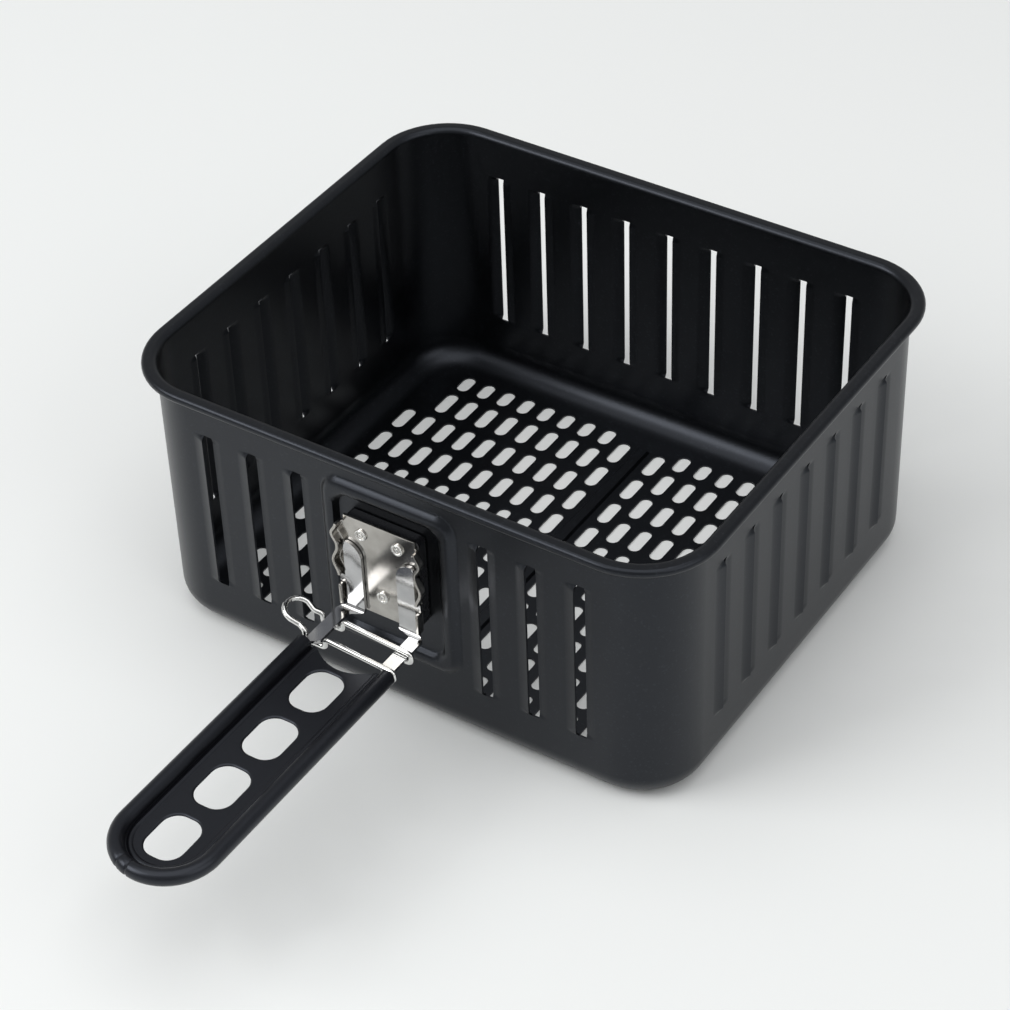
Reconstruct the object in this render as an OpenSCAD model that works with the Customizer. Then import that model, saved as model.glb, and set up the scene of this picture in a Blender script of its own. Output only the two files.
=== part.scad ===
// Air fryer basket: drawn steel pan with louvred walls and a perforated floor,
// a riveted handle bracket, and a clip-on grip held by two spring arms and a sliding wire lock.
// The origin is the middle of the pan's underside. The handle points to -Y.

/* [Pan] */
// Width across the outside of the side walls
body_w = 242; // [236:1:262]
// Depth across the outside of the front and back walls
body_d = 207; // [200:1:230]
// Height from the underside to the top of the rim
body_h = 121; // [119:1:140]
// Outside radius of the upright corners
corner_r = 27; // [26:0.5:30]
// Outside radius between the walls and the floor
bottom_r = 12; // [8:0.5:12]
// Thickness of the steel sheet
sheet = 0.8; // [0.6:0.1:1]

/* [Rim] */
// Outside diameter of the rolled bead
bead_d = 3.8; // [3.4:0.1:4.6]
// Distance that the bead stands out from the wall
rim_out = 5.6; // [5:0.1:7]
// Radius of the bend from the wall into the flange
flare_r = 1.8; // [1.4:0.1:2]

/* [Louvres] */
// Distance from one louvre to the next
louvre_pitch = 21; // [20:0.5:21]
// Louvres in the back wall
back_louvres = 9; // [5:2:9]
// Louvres in each side wall
side_louvres = 7; // [3:2:7]
// Louvres in the front wall on each side of the bracket
front_louvres = 3; // [1:1:3]
// Height of the lower end of a louvre
louvre_low = 26; // [20:1:36]
// Height of the upper end of a louvre
louvre_high = 101.5; // [90:0.5:104]
// Width of the slots that air goes through in the front and back walls
slot_w = 3.6; // [3:0.1:4.6]
// Width of the slots in the side walls
side_slot_w = 2.8; // [2.4:0.1:4]
// Run of the lip that is pressed outward
lip_run = 5.5; // [4:0.5:6]
// Height of the lip that is pressed outward
lip_out = 1.5; // [1.2:0.1:2]
// Run of the edge that is pressed inward
dip_run = 4; // [3:0.5:5]
// Depth of the edge that is pressed inward
dip_in = 0.5; // [0.3:0.1:1]

/* [Floor] */
// Width of a floor hole
hole_w = 5.8; // [5:0.1:6.2]
// Length of a floor hole
hole_l = 14.4; // [12:0.2:14.6]
// Length of the short holes in the row at the back
short_hole_l = 10.5; // [8:0.5:11]
// Distance between the columns of holes
hole_pitch_x = 10.5; // [10:0.1:10.5]
// Distance between the rows of holes
hole_pitch_y = 18.25; // [17:0.25:18.5]
// Width of the pressed rib along the middle of the floor
rib_w = 6; // [5:0.5:7]
// Height of the rib above the floor
rib_up = 1.2; // [0.8:0.1:2]

/* [Bracket seat] */
// Width of the raised ring around the bracket
seat_w = 61; // [58:0.5:62]
// Lower edge of the raised ring
seat_low = 30; // [28:1:34]
// Upper edge of the raised ring
seat_high = 108.5; // [106:0.5:109]
// Width of the band of the ring
seat_band = 8; // [6:0.5:8]
// Height of the ring above the wall
seat_up = 2.5; // [1.5:0.1:3]

/* [Bracket] */
// Width of the bracket plate
plate_w = 36.4; // [36:0.1:38]
// Lower edge of the bracket plate
plate_low = 52.8; // [52.6:0.1:54]
// Upper edge of the bracket plate
plate_high = 97; // [95:0.5:99]
// Thickness of the bracket plate
plate_t = 1.2; // [1:0.1:1.4]
// Thickness of the spacer between the wall and the bracket
spacer_t = 5.4; // [4:0.1:6]
// How far the side flanges stand forward of the plate
flange_out = 3.6; // [2.8:0.1:4]
// How far the two waves of a flange bulge sideways
flange_wave = 2.2; // [0.4:0.1:2.4]
// Height of the notch in each flange that holds an arm's lug
notch_h = 4.4; // [4:0.2:5]
// Height of the middle of that notch
notch_z = 66.4; // [66:0.1:67]

/* [Rivets] */
// Radius of a rivet's shank
shank_r = 1.6; // [1.4:0.1:1.8]
// Radius of a rivet's head
head_r = 2.6; // [2.4:0.1:2.8]
// Radius of the hollow along a rivet
rivet_bore_r = 0.9; // [0.6:0.1:1]
// Half the distance between the two top rivets
top_rivet_x = 8.3; // [7:0.1:9]
// Height of the top rivets
top_rivet_z = 90.3; // [90:0.1:91]
// Height of the bottom rivet
bottom_rivet_z = 63; // [60:1:66]
// Radius of the washers inside the pan
washer_r = 4.5; // [4:0.1:5]
// Thickness of the washers and of the rivet heads
washer_t = 1; // [0.8:0.1:1.2]

/* [Arms] */
// Height of the middle of the arms above the underside of the pan
arm_z = 51.5; // [51.4:0.1:51.6]
// Thickness of the arm strip
arm_t = 1.4; // [1.2:0.1:1.5]
// Inner edge of an arm's leg from the middle of the handle
leg_in = 13.8; // [13.5:0.1:14.2]
// Outer edge of an arm's leg from the middle of the handle
leg_out = 19.6; // [19:0.1:19.8]
// Inner edge of an arm's upright tab
tab_in = 8; // [7:0.5:9]
// Outer edge of an arm's upright tab
tab_out = 16; // [15:0.1:16.4]
// Upper end of an arm's upright tab
tab_high = 85.4; // [80:0.2:86]
// Radius of the tab's inner top corner
tab_r = 6.5; // [4:0.5:7]

/* [Grip] */
// Width of the grip
grip_w = 44.8; // [44:0.2:46]
// End of the grip nearest the pan
grip_near = 136; // [136:0.5:140]
// Far end of the grip
grip_far = 265.6; // [262:0.2:280]
// Diameter of the rolled edge
edge_d = 6.5; // [6.4:0.1:7]
// Thickness of the rolled grip sheet
grip_t = 1; // [0.8:0.1:1]
// Width of the four holes
grip_hole_w = 17; // [15:0.2:17.4]
// Length of the four holes
grip_hole_l = 22.4; // [20:0.2:24]
// Corner radius of the four holes
grip_hole_r = 7; // [5:0.2:7.4]
// Distance between the holes
grip_hole_pitch = 29; // [28:0.2:29.2]
// Depth of the curved cut at the grip's near end
scoop = 5.5; // [3:0.5:6]

/* [Wire lock] */
// Diameter of the wire
wire_d = 2.2; // [2:0.1:2.4]
// Gap between the wire and the arms
wire_gap = 0.3; // [0.3:0.05:0.4]
// Distance between the two cross rods
rod_pitch = 11.5; // [10:0.5:12]
// Length of the thumb loop beyond the left arm
loop_l = 12; // [8:1:16]
// Rise of the thumb loop's tip
loop_up = 5; // [2:0.5:8]

/* [Hidden] */
$fn = 32;
half_w = body_w / 2;
half_d = body_d / 2;
cut = 0.1;
flange_z = body_h - sheet - flare_r;
bead_r = bead_d / 2;
bead_x = rim_out - bead_r;
louvre_h = louvre_high - louvre_low;
louvre_lap = 0.6;
first_hole_x = 18.8;
flank_hole_x = 8.75;
short_row_y = 82.2;
first_row_y = 66.3;
long_rows = 9;
field_columns = 8;
seat_h = seat_high - seat_low;
seat_z = (seat_high + seat_low) / 2;
seat_r = 9;
pocket_r = 5;
spacer_front = half_d + spacer_t;
plate_front = spacer_front + plate_t;
spacer_w = plate_w - 2.4;
tail_in = 17.4;
pin_x = 18.5;
pin_y = 139;
pin_r = 0.6;
tail_end = grip_near + 8;
arm_front = plate_front + 0.3;
edge_r = edge_d / 2;
edge_x = grip_w / 2 - edge_r;
edge_bore_r = edge_r - 0.8;
tip_y = grip_far - grip_w / 2;
first_grip_hole = 155;
plate_z = arm_z - 1.9;
wire_r = wire_d / 2;
wire_over = arm_z + arm_t / 2 + wire_gap + wire_r;
wire_under = arm_z - arm_t / 2 - wire_gap - wire_r;
wire_out = leg_out + wire_gap + wire_r + 0.1;
wire_in = leg_in - wire_gap - wire_r - 0.8;
rod_y = 121.2;
rod_skew = 2;

// A rectangle with true round corners
module round_rect(w, h, r) {
  square([w - 2 * r, h], center = true);
  square([w, h - 2 * r], center = true);
  for (sx = [-1, 1], sy = [-1, 1])
    translate([sx * (w / 2 - r), sy * (h / 2 - r)])
      circle(r);
}

// A slot outline with round ends, long along Y
module slot_outline(w, l) {
  square([w, l - w], center = true);
  for (s = [-1, 1])
    translate([0, s * (l - w) / 2])
      circle(w / 2);
}

// Half of a pan's upright section, from its middle line out to r
module pan_section(r, br, h) {
  translate([0, br])
    square([r, h - br]);
  square([r - br, br + cut]);
  translate([r - br, br])
    intersection() {
      circle(br);
      translate([0, -br])
        square([br, br]);
    }
}

// A solid block with round upright corners and a round bottom edge
module pan_block(w, d, h, cr, br) {
  for (sx = [-1, 1], sy = [-1, 1])
    translate([sx * (w / 2 - cr), sy * (d / 2 - cr), 0])
      rotate_extrude()
        pan_section(cr, br, h);
  for (s = [0, 1]) {
    mirror([0, s, 0])
      translate([-w / 2 + cr, 0, 0])
        rotate([90, 0, 90])
          linear_extrude(w - 2 * cr)
            pan_section(d / 2, br, h);
    mirror([s, 0, 0])
      translate([0, d / 2 - cr, 0])
        rotate([90, 0, 0])
          linear_extrude(d - 2 * cr)
            pan_section(w / 2, br, h);
  }
}

// Carries a section, drawn from the wall outward, all round the pan
module around_pan() {
  for (i = [0:3]) {
    w = i % 2 == 0 ? half_w : half_d;
    d = i % 2 == 0 ? half_d : half_w;
    rotate([0, 0, 90 * i]) {
      translate([w - corner_r, d - corner_r, 0])
        rotate_extrude(angle = 90)
          translate([corner_r, 0])
            children();
      translate([w, d - corner_r, 0])
        rotate([90, 0, 0])
          linear_extrude(2 * (d - corner_r))
            children();
    }
  }
}

// Section of the flared flange and the rolled bead
module rim_section() {
  difference() {
    union() {
      translate([flare_r, flange_z])
        intersection() {
          circle(flare_r + sheet);
          translate([-flare_r - sheet, 0])
            square(flare_r + sheet);
        }
      translate([flare_r - cut, body_h - sheet])
        square([bead_x - flare_r + cut, sheet]);
      translate([bead_x, body_h - bead_r])
        circle(bead_r);
    }
    translate([flare_r, flange_z])
      circle(flare_r);
    translate([bead_x, body_h - bead_r])
      circle(bead_r - sheet);
  }
}

// Places a wall's features: the wall lies along X and its outside faces -Y
module on_wall(turn, offset) {
  rotate([0, 0, turn])
    translate([0, -offset, 0])
      children();
}

// Puts a child at each louvre of the front and back walls
module at_long_walls() {
  mid = (back_louvres - 1) / 2;
  for (i = [0:back_louvres - 1]) {
    x = (i - mid) * louvre_pitch;
    on_wall(180, half_d)
      mirror([1, 0, 0])
        translate([x, 0, louvre_low])
          children();
    if (i < front_louvres || i >= back_louvres - front_louvres)
      on_wall(0, half_d)
        translate([x, 0, louvre_low])
          children();
  }
}

// Puts a child at each louvre of the side walls
module at_side_walls() {
  for (turn = [90, 270], i = [0:side_louvres - 1])
    on_wall(turn, half_w)
      translate([(i - (side_louvres - 1) / 2) * louvre_pitch, 0, louvre_low])
        children();
}

// The piece of wall that each louvre takes the place of
module louvre_cut(slot) {
  left = -slot / 2 - lip_run + louvre_lap;
  right = slot / 2 + dip_run - louvre_lap;
  translate([left, -cut, sheet])
    cube([right - left, sheet + 2 * cut, louvre_h - 2 * sheet]);
}

// A pressed strip: its edge at the slot moves by lift, and its two ends are closed
module pressed_strip(edge, run, lift) {
  near = min(lift, 0);
  far = max(lift, 0) + sheet;
  linear_extrude(louvre_h)
    polygon([[edge, lift], [edge + run, 0], [edge + run, sheet], [edge, lift + sheet]]);
  for (z = [0, louvre_h - sheet])
    translate([0, 0, z])
      linear_extrude(sheet)
        polygon([[edge, near], [edge + run, 0], [edge + run, sheet], [edge, far]]);
}

// One louvre: a lip pressed outward on one side of the slot, and inward on the other
module louvre(slot) {
  pressed_strip(-slot / 2, -lip_run, -lip_out);
  pressed_strip(slot / 2, dip_run, dip_in);
}

// All holes of the floor, as outlines
module floor_holes() {
  for (s = [-1, 1]) {
    for (c = [0:field_columns - 1])
      translate([s * (first_hole_x + c * hole_pitch_x), short_row_y])
        slot_outline(hole_w, short_hole_l);
    for (r = [0:long_rows - 1]) {
      last = r == 0 || r == long_rows - 1 ? field_columns - 1 : field_columns;
      for (c = [0:last])
        translate([s * (first_hole_x + c * hole_pitch_x), first_row_y - r * hole_pitch_y])
          slot_outline(hole_w, hole_l);
      translate([s * flank_hole_x, first_row_y + (0.5 - r) * hole_pitch_y])
        slot_outline(hole_w, hole_l);
    }
  }
}

// The pressed rib along the middle of the floor
module floor_rib() {
  length = 2 * short_row_y;
  rotate([90, 0, 0])
    translate([0, 0, -length / 2])
      difference() {
        linear_extrude(length)
          polygon([[-rib_w / 2, 0], [-rib_w / 2 + 1, rib_up + sheet], [rib_w / 2 - 1, rib_up + sheet], [rib_w / 2, 0]]);
        translate([0, 0, sheet])
          linear_extrude(length - 2 * sheet)
            polygon([
              [-rib_w / 2 + sheet, -cut],
              [-rib_w / 2 + 1 + sheet, rib_up],
              [rib_w / 2 - 1 - sheet, rib_up],
              [rib_w / 2 - sheet, -cut]
            ]);
      }
}

// Stands an outline up on the front wall, from depth y0 to y1 outward of the middle
module on_front(y0, y1) {
  translate([0, -y0, 0])
    rotate([90, 0, 0])
      linear_extrude(y1 - y0)
        children();
}

// Outline of the raised ring, drawn in by a margin on every side
module seat_outline(margin) {
  translate([0, seat_z])
    round_rect(seat_w - 2 * margin, seat_h - 2 * margin, seat_r - margin);
}

// Outline of the flat pocket inside the ring, drawn out by a margin
module pocket_outline(margin) {
  translate([0, seat_z])
    round_rect(
      seat_w - 2 * seat_band + 2 * margin,
      seat_h - 2 * seat_band + 2 * margin,
      pocket_r + margin
    );
}

// The raised ring, hollow from inside
module seat_ring() {
  difference() {
    on_front(half_d - sheet, half_d + seat_up)
      seat_outline(0);
    on_front(half_d - 2 * sheet, half_d + seat_up + cut)
      pocket_outline(0);
    seat_hollow();
  }
}

module seat_hollow() {
  on_front(half_d - 2 * sheet, half_d + seat_up - sheet)
    difference() {
      seat_outline(sheet);
      pocket_outline(sheet);
    }
}

// Cylinders at the three rivets, from depth y0 to y1
module at_rivets(r, y0, y1) {
  for (p = rivet_places())
    on_front(y0, y1)
      translate(p)
        circle(r);
}

function rivet_places() = [
  [-top_rivet_x, top_rivet_z],
  [top_rivet_x, top_rivet_z],
  [0, bottom_rivet_z]
];

module basket_shell() {
  color("#35383b")
    difference() {
      union() {
        difference() {
          pan_block(body_w, body_d, flange_z, corner_r, bottom_r);
          translate([0, 0, sheet])
            pan_block(body_w - 2 * sheet, body_d - 2 * sheet, body_h, corner_r - sheet, bottom_r - sheet);
          at_long_walls()
            louvre_cut(slot_w);
          at_side_walls()
            louvre_cut(side_slot_w);
          seat_hollow();
        }
        at_long_walls()
          louvre(slot_w);
        at_side_walls()
          louvre(side_slot_w);
        around_pan()
          rim_section();
        seat_ring();
        floor_rib();
      }
      translate([0, 0, -cut])
        linear_extrude(sheet + 2 * cut)
          floor_holes();
      translate([-rib_w / 2 + sheet, -short_row_y + sheet, -cut])
        cube([rib_w - 2 * sheet, 2 * (short_row_y - sheet), sheet]);
      at_rivets(shank_r, half_d - 2 * sheet, half_d + cut);
    }
}

module rim_wire() {
  color("silver")
    around_pan()
      translate([bead_x, body_h - bead_r])
        circle(bead_r - sheet - 0.05);
}

module bracket_spacer() {
  color("#16171a")
    difference() {
      on_front(half_d, spacer_front)
        translate([0, (plate_high + plate_low) / 2])
          round_rect(spacer_w, plate_high - plate_low - 2, 2);
      at_rivets(shank_r, half_d - cut, spacer_front + cut);
    }
}

// One wave of a flange: how far it bulges at height z
function wave(z, low, high) =
  z <= low || z >= high ? 0 : flange_wave * (1 - cos(360 * (z - low) / (high - low))) / 2;

// One side flange: it bulges sideways in two waves, and a notch in it holds the arm's lug
module side_flange() {
  z0 = plate_low + 1.5;
  z1 = plate_high - 3;
  steps = 28;
  middle = notch_z + notch_h / 2;
  path = [
    for (i = [0:steps])
      let(z = z0 + (z1 - z0) * i / steps)
        [plate_w / 2 + wave(z, middle, middle + 14) + wave(z, middle + 15, z1), z]
  ];
  difference() {
    on_front(spacer_front, plate_front + flange_out)
      polygon(concat(
        path,
        [for (i = [steps:-1:0]) path[i] - [plate_t, 0]]
      ));
    translate([plate_w / 2 - 2 * plate_t, -plate_front - 10, notch_z - notch_h / 2])
      cube([4 * plate_t, 10, notch_h]);
  }
}

module handle_bracket() {
  color("#c9c7c2")
    difference() {
      union() {
        on_front(spacer_front, plate_front)
          translate([0, (plate_high + plate_low) / 2])
            round_rect(plate_w, plate_high - plate_low, 1.5);
        side_flange();
        mirror([1, 0, 0])
          side_flange();
      }
      at_rivets(shank_r, spacer_front - cut, plate_front + cut);
    }
}

// A hollow rivet: head outside the bracket, tail rolled over the washer inside the pan
module rivet(place) {
  tail = half_d - sheet - washer_t;
  color("#d5d5d3")
    difference() {
      union() {
        on_front(plate_front, plate_front + washer_t)
          translate(place)
            circle(head_r);
        on_front(tail, plate_front + cut)
          translate(place)
            circle(shank_r);
        on_front(tail - washer_t, tail)
          translate(place)
            circle(head_r);
      }
      on_front(tail - 2 * washer_t, plate_front + 2 * washer_t)
        translate(place)
          circle(rivet_bore_r);
    }
}

module washer(place) {
  color("silver")
    on_front(half_d - sheet - washer_t, half_d - sheet)
      translate(place)
        difference() {
          circle(washer_r);
          circle(shank_r);
        }
}

// The right arm: an upright tab against the bracket and a flat leg that runs into the grip.
// It bends at a small hole near the leg's end.
module arm() {
  z0 = arm_z - arm_t / 2;
  lug_h = notch_h - 0.8;
  color("#d8d8d6") {
    on_front(arm_front, arm_front + arm_t) {
      translate([tab_in, z0])
        square([tab_out - tab_in, tab_high - tab_r - z0]);
      translate([tab_in + tab_r, z0])
        square([tab_out - tab_in - tab_r, tab_high - z0]);
      intersection() {
        translate([tab_in + tab_r, tab_high - tab_r])
          circle(tab_r);
        translate([tab_in, tab_high - tab_r])
          square([tab_out - tab_in, tab_r]);
      }
      translate([tab_out - 1, notch_z - lug_h / 2])
        square([plate_w / 2 - plate_t + 0.5 - tab_out + 1, lug_h]);
    }
    translate([0, 0, z0])
      linear_extrude(arm_t)
        difference() {
          union() {
            translate([tab_in, -arm_front - 4])
              square([leg_out - tab_in, 4]);
            translate([leg_in, -grip_near + 3])
              square([leg_out - leg_in, grip_near - arm_front - 3]);
            polygon([
              [leg_in, -grip_near + 3],
              [tail_in, -grip_near],
              [leg_out, -grip_near],
              [leg_out, -grip_near + 3]
            ]);
            translate([tail_in, -tail_end])
              square([leg_out - tail_in, tail_end - grip_near + cut]);
          }
          translate([pin_x, -pin_y])
            circle(pin_r);
        }
  }
}

module right_arm() {
  arm();
}

module left_arm() {
  mirror([1, 0, 0])
    arm();
}

// Carries a section, drawn from the grip's middle line outward, along both edges and round the tip
module around_grip(near) {
  for (s = [0, 1])
    mirror([s, 0, 0])
      translate([0, -near, arm_z])
        rotate([90, 0, 0])
          linear_extrude(tip_y - near)
            children();
  translate([0, -tip_y, arm_z])
    rotate([0, 0, 180])
      rotate_extrude(angle = 180)
        children();
}

// Half of the grip's section: the flat middle and the rolled edge
module grip_section() {
  difference() {
    union() {
      translate([0, plate_z - arm_z])
        square([edge_x, grip_t]);
      translate([edge_x, 0])
        circle(edge_r);
    }
    translate([edge_x, 0])
      circle(edge_bore_r);
  }
}

module grip_plate() {
  scoop_w = edge_x - 6;
  scoop_r = (scoop_w * scoop_w + scoop * scoop) / (2 * scoop);
  color("#1d1f22")
    difference() {
      around_grip(grip_near)
        grip_section();
      translate([0, 0, plate_z - cut])
        linear_extrude(grip_t + 2 * cut) {
          for (i = [0:3])
            translate([0, -first_grip_hole - i * grip_hole_pitch])
              round_rect(grip_hole_w, grip_hole_l, grip_hole_r);
          translate([0, -grip_near - scoop + scoop_r])
            circle(scoop_r);
        }
    }
}

module grip_edge_wire() {
  color("silver")
    around_grip(tail_end + 2)
      translate([edge_x, 0])
        circle(edge_bore_r - 0.05);
}

// A straight piece of wire with round ends
module wire_run(a, b) {
  hull()
    for (p = [a, b])
      translate(p)
        sphere(wire_r, $fn = 16);
}

// The bent wire: hooked round the right arm, across, under the left arm and out to the loop
function half_wire(y, tuck) = [
  [wire_out - 5, -y - rod_skew, wire_under],
  [wire_out - 0.8, -y - rod_skew, wire_under],
  [wire_out, -y - rod_skew, wire_under + 0.8],
  [wire_out, -y - rod_skew, wire_over - 0.8],
  [wire_out - 0.8, -y - rod_skew, wire_over],
  [-wire_in + 0.8, -y, wire_over],
  [-wire_in, -y, wire_over - 0.8],
  [-wire_in, -y, wire_under + 0.8],
  [-wire_in - 0.8, -y, wire_under],
  [-wire_out + 0.8, -y, wire_under],
  [-wire_out, -y, wire_under + 0.8],
  [-wire_out, -y, wire_over - 1],
  [-wire_out - 3, -y - tuck, wire_over + 0.2 * loop_up],
  [-wire_out - 0.55 * loop_l, -y, wire_over + 0.6 * loop_up]
];

function loop_tip() = [
  for (a = [-60:30:60])
    [
      -wire_out - 0.55 * loop_l - 0.45 * loop_l * cos(a),
      -rod_y - rod_pitch / 2 - rod_pitch / 2 * sin(a),
      wire_over + 0.6 * loop_up + 0.4 * loop_up * cos(a)
    ]
];

module wire_lock() {
  front_half = half_wire(rod_y, 1);
  back_half = half_wire(rod_y + rod_pitch, -1);
  last = len(back_half) - 1;
  path = concat(front_half, loop_tip(), [for (i = [last:-1:0]) back_half[i]]);
  color("#e2e2e0")
    for (i = [1:len(path) - 1])
      wire_run(path[i - 1], path[i]);
}

basket_shell();
rim_wire();
bracket_spacer();
handle_bracket();
rivet(rivet_places()[0]);  // top_left_rivet
rivet(rivet_places()[1]);  // top_right_rivet
rivet(rivet_places()[2]);  // bottom_rivet
washer(rivet_places()[0]);  // top_left_washer
washer(rivet_places()[1]);  // top_right_washer
washer(rivet_places()[2]);  // bottom_washer
grip_plate();
grip_edge_wire();
left_arm();
right_arm();
wire_lock();
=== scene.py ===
# Air fryer basket with a clip-on handle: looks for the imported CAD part.
# Shapes are worked out in millimetres and scaled to metres when a mesh is made.
import math

import bpy
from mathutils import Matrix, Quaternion, Vector
from mathutils.geometry import delaunay_2d_cdt


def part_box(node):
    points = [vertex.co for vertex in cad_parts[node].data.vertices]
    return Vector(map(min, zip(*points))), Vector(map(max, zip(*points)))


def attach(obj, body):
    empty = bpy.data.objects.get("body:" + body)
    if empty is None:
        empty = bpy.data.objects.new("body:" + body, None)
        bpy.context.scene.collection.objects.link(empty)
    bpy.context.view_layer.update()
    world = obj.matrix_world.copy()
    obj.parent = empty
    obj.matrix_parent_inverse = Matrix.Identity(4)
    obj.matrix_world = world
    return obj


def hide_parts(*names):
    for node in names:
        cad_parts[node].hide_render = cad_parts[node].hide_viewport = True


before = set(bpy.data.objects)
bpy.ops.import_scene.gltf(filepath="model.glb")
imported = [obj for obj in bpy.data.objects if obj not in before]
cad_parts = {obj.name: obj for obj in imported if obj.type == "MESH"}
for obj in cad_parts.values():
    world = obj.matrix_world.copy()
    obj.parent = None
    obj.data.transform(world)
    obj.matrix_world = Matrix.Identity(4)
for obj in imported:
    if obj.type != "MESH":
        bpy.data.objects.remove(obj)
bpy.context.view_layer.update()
print("frame loaded")


def linearColour(hexText):
    # sRGB hex to the linear values that shaders take
    parts = [int(hexText[i : i + 2], 16) / 255 for i in (1, 3, 5)]
    return [c / 12.92 if c <= 0.04045 else ((c + 0.055) / 1.055) ** 2.4 for c in parts] + [1]


def addNode(tree, kind, settings=None, links=None):
    # one node with its settings, and links given as input name: (node, output name)
    made = tree.nodes.new(kind)
    for key, value in (settings or {}).items():
        if key in made.inputs:
            made.inputs[key].default_value = value
        else:
            setattr(made, key, value)
    for key, (source, output) in (links or {}).items():
        tree.links.new(source.outputs[output], made.inputs[key])
    return made


def newMaterial(name):
    material = bpy.data.materials.new(name)
    material.use_nodes = True
    tree = material.node_tree
    tree.nodes.clear()
    place = addNode(tree, "ShaderNodeTexCoord")
    output = addNode(tree, "ShaderNodeOutputMaterial")
    return material, tree, place, output


def perMetre(size):
    # texture scale for a pattern whose grains are that many millimetres across
    return 1000 / size


# Steel sprayed with non-stick coating and baked: near-black satin film, faint orange peel,
# and a fine glitter where the light catches its grains.
coating = dict(
    dark="#020203", light="#040506", fleck="#202327", gloss="#e2eafa", roughness=(0.28, 0.36),
    grain=0.7, grainHeight=0.02, peel=5, peelHeight=0.02, fleckSize=0.7, fleckShare=0.1,
)


def coatedSteel():
    material, tree, place, output = newMaterial("nonstickCoatedSteel")
    # real grit is finer than this: it is drawn at a size that shows
    grain = addNode(tree, "ShaderNodeTexNoise",
                    {"Scale": perMetre(coating["grain"]), "Detail": 3, "Roughness": 0.6},
                    {"Vector": (place, "Object")})
    peel = addNode(tree, "ShaderNodeTexNoise", {"Scale": perMetre(coating["peel"]), "Detail": 1},
                   {"Vector": (place, "Object")})
    cells = addNode(tree, "ShaderNodeTexVoronoi", {"Scale": perMetre(coating["fleckSize"])},
                    {"Vector": (place, "Object")})
    share = addNode(tree, "ShaderNodeSeparateColor", None, {"Color": (cells, "Color")})
    flecks = addNode(tree, "ShaderNodeMapRange",
                     {"From Min": 1 - coating["fleckShare"], "From Max": 1, "To Max": 0.5},
                     {"Value": (share, "Red")})
    film = addNode(tree, "ShaderNodeValToRGB", None, {"Fac": (peel, "Fac")})
    film.color_ramp.elements[0].position = 0.3
    film.color_ramp.elements[0].color = linearColour(coating["dark"])
    film.color_ramp.elements[1].position = 0.75
    film.color_ramp.elements[1].color = linearColour(coating["light"])
    colour = addNode(tree, "ShaderNodeMix", {"data_type": "RGBA"}, {"Factor": (flecks, "Result")})
    tree.links.new(film.outputs["Color"], colour.inputs[6])
    colour.inputs[7].default_value = linearColour(coating["fleck"])
    sheen = addNode(tree, "ShaderNodeMapRange",
                    {"To Min": coating["roughness"][0], "To Max": coating["roughness"][1]},
                    {"Value": (grain, "Fac")})
    waves = addNode(tree, "ShaderNodeBump",
                    {"Strength": 0.5, "Distance": coating["peelHeight"] / 1000},
                    {"Height": (peel, "Fac")})
    grit = addNode(tree, "ShaderNodeBump",
                   {"Strength": 0.6, "Distance": coating["grainHeight"] / 1000},
                   {"Height": (grain, "Fac"), "Normal": (waves, "Normal")})
    shader = addNode(tree, "ShaderNodeBsdfPrincipled",
                     {"IOR": 1.46, "Specular Tint": linearColour(coating["gloss"])},
                     {"Roughness": (sheen, "Result"), "Normal": (grit, "Normal")})
    tree.links.new(colour.outputs[2], shader.inputs["Base Color"])
    tree.links.new(shader.outputs["BSDF"], output.inputs["Surface"])
    return material


# Powder-coated steel grip: a thicker, softer black film with a slight texture.
enamel = dict(dark="#07070a", light="#0c0c10", gloss="#e2eafa", roughness=(0.3, 0.38), grain=0.9,
              grainHeight=0.015)


def gripEnamel():
    material, tree, place, output = newMaterial("blackPowderCoat")
    grain = addNode(tree, "ShaderNodeTexNoise",
                    {"Scale": perMetre(enamel["grain"]), "Detail": 2, "Roughness": 0.5},
                    {"Vector": (place, "Object")})
    film = addNode(tree, "ShaderNodeValToRGB", None, {"Fac": (grain, "Fac")})
    film.color_ramp.elements[0].position = 0.35
    film.color_ramp.elements[0].color = linearColour(enamel["dark"])
    film.color_ramp.elements[1].position = 0.7
    film.color_ramp.elements[1].color = linearColour(enamel["light"])
    sheen = addNode(tree, "ShaderNodeMapRange",
                    {"To Min": enamel["roughness"][0], "To Max": enamel["roughness"][1]},
                    {"Value": (grain, "Fac")})
    bump = addNode(tree, "ShaderNodeBump",
                   {"Strength": 0.5, "Distance": enamel["grainHeight"] / 1000},
                   {"Height": (grain, "Fac")})
    shader = addNode(tree, "ShaderNodeBsdfPrincipled",
                     {"IOR": 1.5, "Specular Tint": linearColour(enamel["gloss"])},
                     {"Base Color": (film, "Color"), "Roughness": (sheen, "Result"),
                      "Normal": (bump, "Normal")})
    tree.links.new(shader.outputs["BSDF"], output.inputs["Surface"])
    return material


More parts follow.
